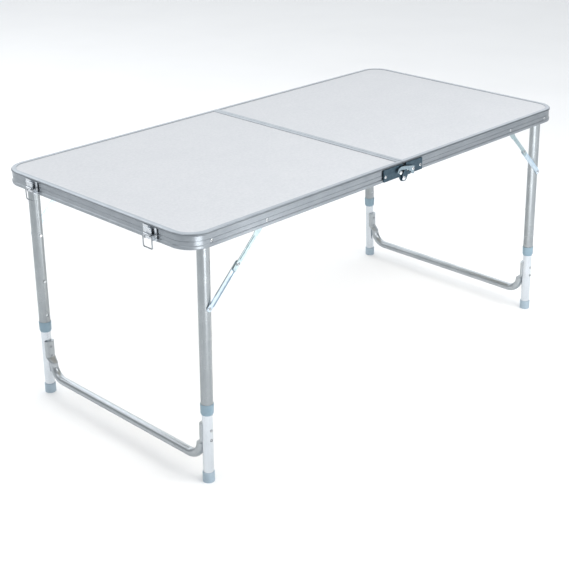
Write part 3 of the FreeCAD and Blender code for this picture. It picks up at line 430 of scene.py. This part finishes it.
def crowns(points):
    """(crown, outward axis, radius) of each domed head on a rivet."""
    middle = [(min(p[k] for p in points) + max(p[k] for p in points)) / 2 for k in range(3)]
    found = []
    for axis in range(3):
        others = [k for k in range(3) if k != axis]
        for sign in (-1, 1):
            reach = max(sign * p[axis] for p in points)
            tips = [p for p in points if sign * p[axis] > reach - TIP_DEPTH]
            if any(abs(p[k] - middle[k]) > OFF_CENTRE for p in tips for k in others):
                continue
            head = [p for p in points if sign * p[axis] > reach - HEAD_DEPTH]
            radius = max(math.hypot(*(p[k] - middle[k] for k in others)) for p in head)
            outward = Vector([sign if k == axis else 0 for k in range(3)])
            crown = Vector([tips[0][axis] if k == axis else middle[k] for k in range(3)])
            found.append((crown, outward, radius))
    return found


# radius as a share of the head's, and height over the crown in mm, from the rim of the mark to its stub
SET_MARK = [
    (0.56, -0.32), (0.50, 0.05), (0.44, 0.10), (0.34, 0.02), (0.20, 0.02), (0.17, 0.10), (0.10, 0.15),
]
SET_FINISH = [0, 0, 1, 1, 0, 0, 0]  # 1 is the pit between ring and stub, painted dark as shade
MARK_POINTS = 20


def add_set_marks(node, made):
    """The ring and stub that the setting tool leaves in each rivet head of a node."""
    marks = []
    for points in solids_of(node):
        for crown, outward, radius in crowns(points):
            side = outward.orthogonal()
            across = outward.cross(side)
            marks.append([
                ring(
                    crown + outward * height * MM,
                    side * share * radius,
                    across * share * radius,
                    MARK_POINTS,
                )
                for share, height in SET_MARK
            ])
    if marks:
        # the second finish is painted shade: it darkens the pit between ring and stub
        finishes = (made["rivet_steel"], made["rivet_pit_shade"])
        piece = add_piece(node + "_set_marks", node, marks, finishes, SET_FINISH)


HANDLE_POINTS = 28
ARM_DROPS = (0.0, 0.004, 0.008, 0.012)  # where the straight arm has points, below its pin
HANDLE_BEND = 0.0175  # size of the bend from arm to grip
BEND_PULL = 0.55  # near a quarter circle
BEND_STEPS = 8
STRAIGHT_STEPS = 96
GRIP_HALF = 0.058  # the grip is fuller than the arms within this of the middle
GRIP_RUN = 0.010  # the length over which it fills out
GRIP_DEEP = 1.5 * MM  # how much it grows away from the table
GRIP_WIDE = 0.7 * MM  # how much it grows up and down
RIB_PITCH = 0.0085
RIB_RISE = 0.38 * MM
EYE_HALF = 5.5 * MM
# radius and place along the pin in mm, round the eye's section and back to its start
EYE_PROFILE = [
    (2.25, -5.5), (3.9, -5.5), (4.5, -4.9), (4.9, 0), (4.5, 4.9), (3.9, 5.5), (2.25, 5.5), (2.25, -5.5),
]


def handle_line(reach, top, low):
    """Points of the handle's middle line, from one eye down, across and up to the other."""
    bend, pull = HANDLE_BEND, BEND_PULL * HANDLE_BEND
    line = [(-reach, top - drop) for drop in ARM_DROPS]
    start, end = Vector((-reach, low + bend)), Vector((-reach + bend, low))
    first, second = start - Vector((0, pull)), end - Vector((pull, 0))
    for step in range(BEND_STEPS + 1):
        t = step / BEND_STEPS
        point = start * (1 - t) ** 3 + first * 3 * t * (1 - t) ** 2
        point += second * 3 * t * t * (1 - t) + end * t ** 3
        line.append((point.x, point.y))
    for step in range(1, STRAIGHT_STEPS + 1):
        line.append((-reach + bend + (reach - bend) * step / STRAIGHT_STEPS, low))
    line += [(-y, z) for y, z in reversed(line[:-1])]
    return [Vector((0, y, z)) for y, z in line]


def add_handle(made):
    """A moulded bail: round arms with an eye on each pin, and a fuller grip with finger ribs."""
    low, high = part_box("handle_grip")
    radius = (high[0] - low[0]) / 2
    centre_x = (high[0] + low[0]) / 2
    reach, top = high[1] - EYE_HALF, high[2] - radius
    line = handle_line(reach, top, low[2] + radius)
    rings = []
    for index, point in enumerate(line):
        before, after = line[max(index - 1, 0)], line[min(index + 1, len(line) - 1)]
        heading = (after - before).normalized()
        inward = Vector((1, 0, 0)).cross(heading)
        swell = min(max((GRIP_HALF - abs(point.y)) / GRIP_RUN, 0), 1)
        swell = swell * swell * (3 - 2 * swell)
        rib = swell * RIB_RISE * math.cos(math.tau * point.y / RIB_PITCH)
        deep = radius + swell * GRIP_DEEP + rib
        wide = radius + swell * GRIP_WIDE + rib
        middle = point + Vector((centre_x + deep - radius, 0, 0))
        rings.append(ring(middle, Vector((deep, 0, 0)), inward * wide, HANDLE_POINTS))
    piece = add_piece("handle_moulding", "handle_grip", [rings], (made["handle_plastic"],))
    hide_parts("handle_grip")
    for sign, end in ((-1, "front"), (1, "rear")):
        centre = Vector((centre_x, sign * reach, top))
        eye = [
            ring(centre + Vector((0, y * MM, 0)), Vector((r * MM, 0, 0)), Vector((0, 0, r * MM)))
            for r, y in EYE_PROFILE
        ]
        boss = add_piece(f"handle_eye_{end}", "handle_grip", [eye], (made["handle_plastic"],), closed=False)


RIVET_NODES = ("frame_rivets", "knuckle_rivets", "leg_rivets", "stretcher_rivets")


def add_details(made):
    """The pieces that aren't in the CAD: rivet marks on both halves, and the handle."""
    for side in SIDES:
        for kind in RIVET_NODES:
            add_set_marks(f"{side}_{kind}", made)
    add_handle(made)


# ---------------------------------------------------------------- floor, light, camera
FLOOR_HALF = 9


def add_floor():
    """A plain pale matt floor under the feet."""
    size = FLOOR_HALF
    mesh = bpy.data.meshes.new("floor")
    corners = [(-size, -size, 0), (size, -size, 0), (size, size, 0), (-size, size, 0)]
    mesh.from_pydata(corners, [], [(0, 1, 2, 3)])
    floor = bpy.data.objects.new("floor", mesh)
    bpy.context.scene.collection.objects.link(floor)
    m = Material("studio_floor")
    m.colour(m.ramp(m.noise(3, detail=2), [(0.3, 0.93), (0.7, 0.95)]))
    m.shader.inputs["Roughness"].default_value = 0.9
    mesh.materials.append(m.material)


WINDOW_WAY = (0.60, 0.56, 0.57)
# the window glows from where its way and the ray's agree by From Min, up to full at From Max
WINDOW_GLOW = {"From Min": 0.62, "From Max": 0.93, "To Min": 0.50, "To Max": 1.7}


def add_world():
    """A dim pale studio with one broad bright window, high beyond the far corner of the table."""
    world = bpy.data.worlds.new("studio")
    bpy.context.scene.world = world
    world.use_nodes = True
    nodes_of, links = world.node_tree.nodes, world.node_tree.links
    way = nodes_of.new("ShaderNodeTexCoord")
    toward = nodes_of.new("ShaderNodeVectorMath")
    toward.operation = "DOT_PRODUCT"
    toward.inputs[1].default_value = Vector(WINDOW_WAY).normalized()
    links.new(way.outputs["Generated"], toward.inputs[0])
    glow = nodes_of.new("ShaderNodeMapRange")
    glow.interpolation_type = "SMOOTHSTEP"
    for socket, value in WINDOW_GLOW.items():
        glow.inputs[socket].default_value = value
    links.new(toward.outputs["Value"], glow.inputs["Value"])
    background = nodes_of["Background"]
    background.inputs["Color"].default_value = (0.94, 0.97, 1.0, 1)
    links.new(glow.outputs["Result"], background.inputs["Strength"])


def add_light(name, place, aim, width, height, power):
    """A soft white rectangle of light in metres and watts, which the camera doesn't see."""
    data = bpy.data.lights.new(name, "AREA")
    data.shape, data.size, data.size_y = "RECTANGLE", width, height
    data.energy = power
    lamp = bpy.data.objects.new(name, data)
    bpy.context.scene.collection.objects.link(lamp)
    lamp.location = place
    lamp.rotation_euler = (Vector(aim) - Vector(place)).to_track_quat("-Z", "Y").to_euler()
    lamp.visible_camera = False


def add_lights():
    """Two light the table, two the floor before and behind it, and two lie on the floor for reflections."""
    add_light("overhead", (-0.2, -0.2, 3.2), (-0.1, -0.1, 0), 3.6, 3.2, 30)
    add_light("front_floor", (0.3, -2.0, 1.9), (0.1, -1.3, 0), 1.8, 1.3, 38)
    add_light("far_floor", (-0.8, 2.9, 2.4), (-0.8, 2.9, 0), 3.2, 2.2, 34)
    add_light("left_high", (-2.2, 0.3, 1.9), (-0.6, 0, 0.55), 0.8, 1.6, 7)
    add_light("leg_glow", (-0.1, -0.55, 0.01), (0.56, 0, 0.3), 0.8, 0.8, 3.2)
    add_light("corner_glow", (-0.85, -1.38, 0.01), (-0.6, -0.3, 0.54), 0.6, 0.5, 3.8)


CAMERA_PLACE = (-1.8590, -1.8145, 1.3280)
CAMERA_AIM = (-0.3396, -0.4099, 0.3500)
LENS, SENSOR = 74.11, 36
SHIFT = (-0.0846, 0.0434)


def add_camera():
    """Above the near left corner, looking along the table."""
    data = bpy.data.cameras.new("camera")
    data.lens, data.sensor_width = LENS, SENSOR
    data.shift_x, data.shift_y = SHIFT
    camera = bpy.data.objects.new("camera", data)
    bpy.context.scene.collection.objects.link(camera)
    place, aim = Vector(CAMERA_PLACE), Vector(CAMERA_AIM)
    camera.location = place
    camera.rotation_euler = (aim - place).to_track_quat("-Z", "Y").to_euler()
    bpy.context.scene.camera = camera


add_camera()
add_floor()
add_world()
add_lights()
add_details(paint_frame())
bpy.context.scene.view_settings.view_transform = "Standard"
